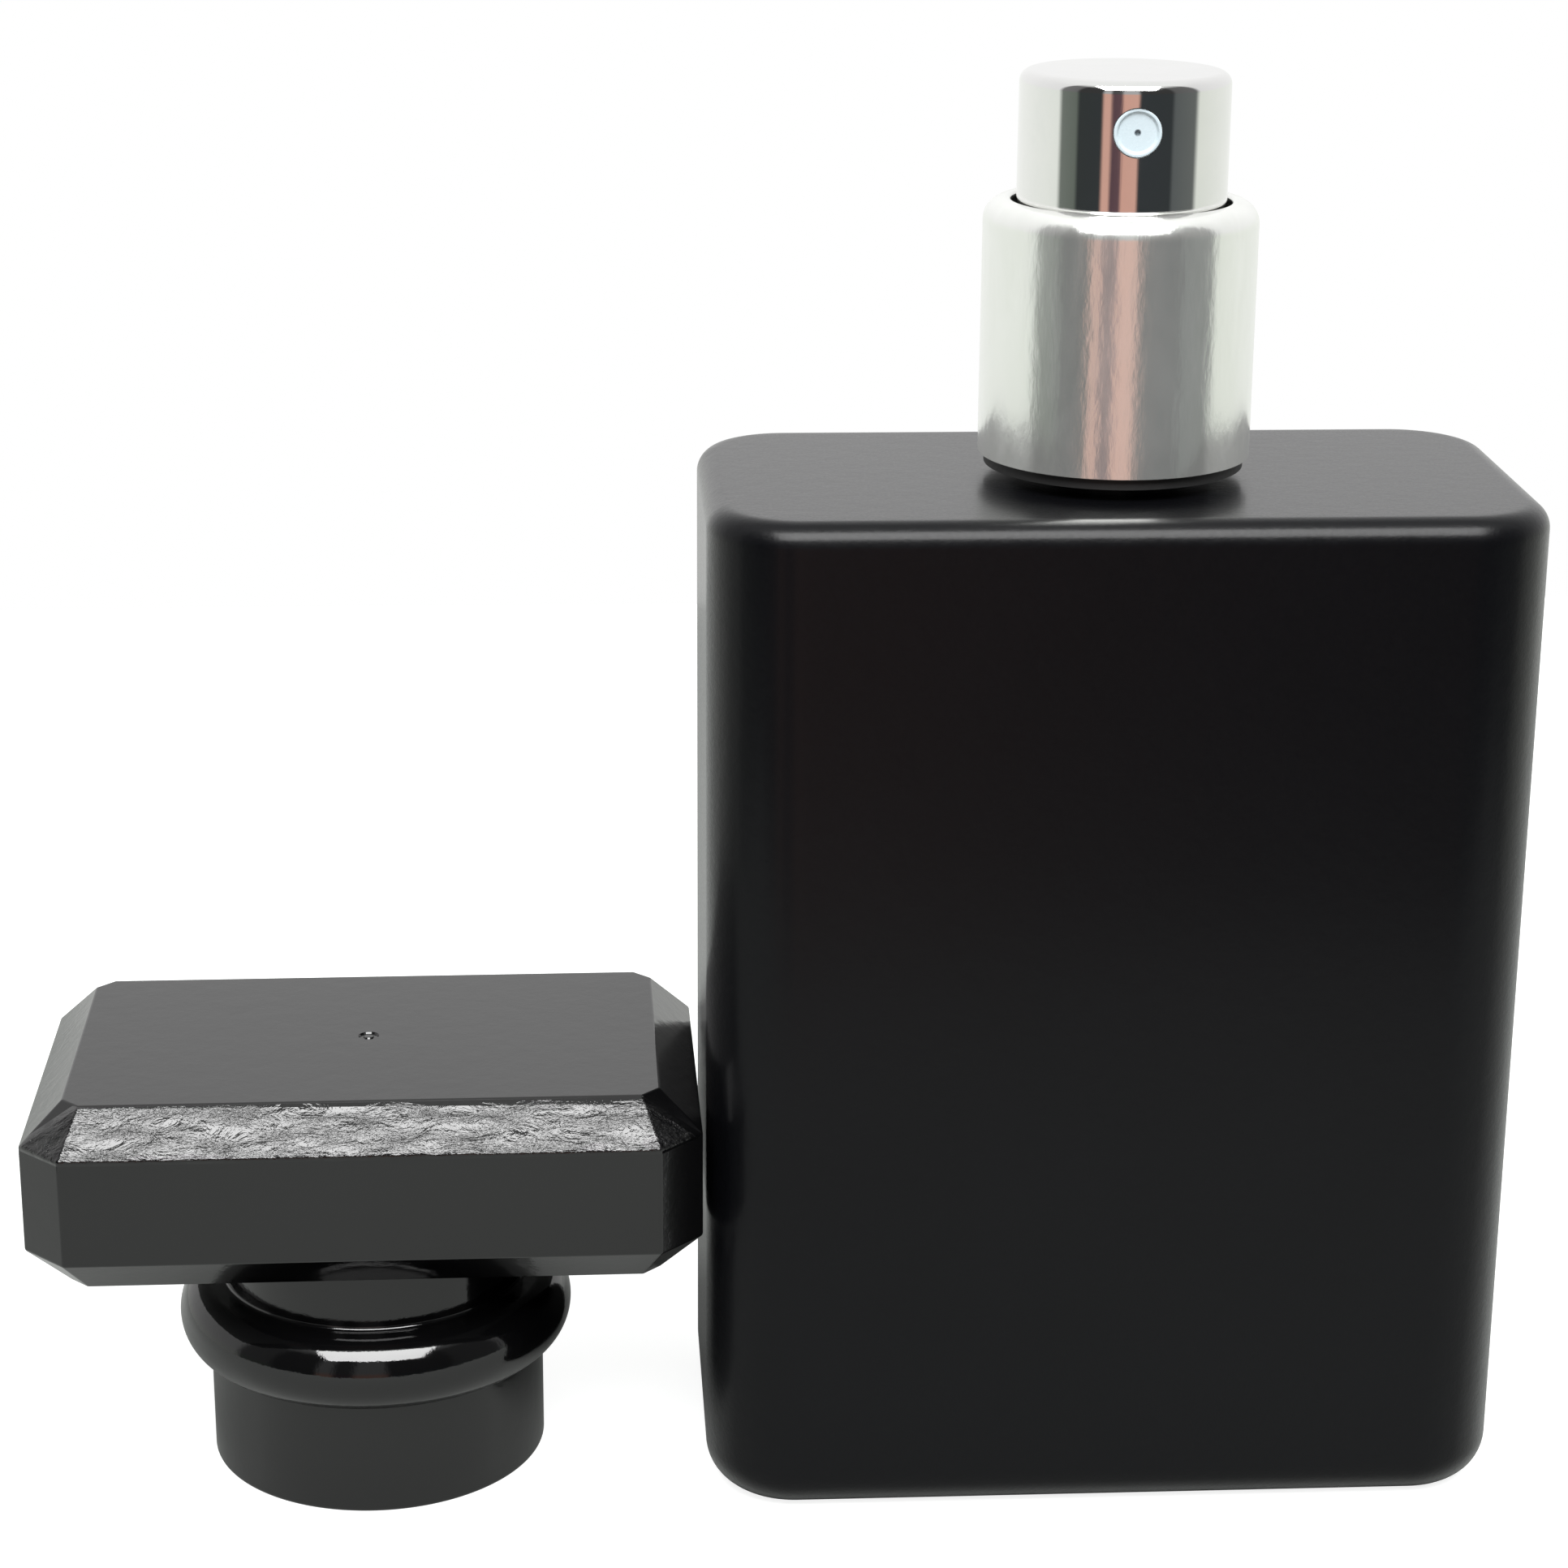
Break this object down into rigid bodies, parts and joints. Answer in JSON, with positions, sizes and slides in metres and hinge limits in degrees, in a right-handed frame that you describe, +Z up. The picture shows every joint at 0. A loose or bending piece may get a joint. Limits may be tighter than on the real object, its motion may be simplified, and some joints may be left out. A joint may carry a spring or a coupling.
{
  "type": "aftershave bottle",
  "caption": "Flat rectangular spray bottle with a crimped mist pump and a faceted cap that stands beside it.",
  "frame": {"origin": "on the surface that the bottle stands on, under the middle of the glass body", "axes": "+Z up along the pump's axis, front towards -Y, +X to the right seen from the front; the cap stands on the -X side"},
  "size_m": [0.0983, 0.0289, 0.0942],
  "materials": {
    "black_lacquered_glass": "matt soft-touch black lacquer over glass",
    "bright_aluminium": "bright anodised",
    "plain_aluminium": "rolled sheet",
    "natural_plastic": "natural polypropylene",
    "nozzle_plastic": "pale acetal",
    "elastomer": "smooth",
    "spring_steel": "drawn wire",
    "gloss_black_plastic": "polished moulding",
    "plain_black_plastic": "plain polypropylene"
  },
  "bodies": {
    "bottle": {"glass_bottle": "black_lacquered_glass", "neck_gasket": "elastomer", "crimp_ferrule": "plain_aluminium", "collar_insert": "plain_black_plastic", "collar_shell": "bright_aluminium", "pump_housing": "natural_plastic", "pump_turret": "natural_plastic", "stem_gasket": "elastomer", "main_spring": "spring_steel", "dip_tube": "natural_plastic"},
    "stem": {"pump_stem": "natural_plastic", "pump_piston": "natural_plastic", "poppet_spring": "spring_steel"},
    "push_button": {"actuator_core": "natural_plastic", "actuator_shell": "bright_aluminium", "nozzle_insert": "nozzle_plastic"},
    "outlet_valve": {"outlet_poppet": "nozzle_plastic"},
    "inlet_valve": {"inlet_ball": "spring_steel"},
    "cap": {"cap_shell": "gloss_black_plastic", "cap_liner": "plain_black_plastic"}
  },
  "joints": [
    {"name": "stem_press", "type": "slide", "parent": "bottle", "child": "stem", "axis": [0, 0, -1], "range_m": [0, 0.0042], "stiffness_N_per_m": 1200, "springref_m": -0.004, "deforming": ["main_spring"]},
    {"name": "button_turn", "type": "hinge", "parent": "stem", "child": "push_button", "pos_m": [0, 0, 0.0858], "axis": [0, 0, 1], "continuous": true},
    {"name": "outlet_lift", "type": "slide", "parent": "stem", "child": "outlet_valve", "axis": [0, 0, 1], "range_m": [0, 0.0005], "stiffness_N_per_m": 60, "springref_m": -0.002, "deforming": ["poppet_spring"]},
    {"name": "inlet_lift", "type": "slide", "parent": "bottle", "child": "inlet_valve", "axis": [0, 0, 1], "range_m": [0, 0.0006]},
    {"name": "cap_lift", "type": "slide", "parent": "bottle", "child": "cap", "axis": [0, 0, 1], "range_m": [0, 0.1]}
  ]
}
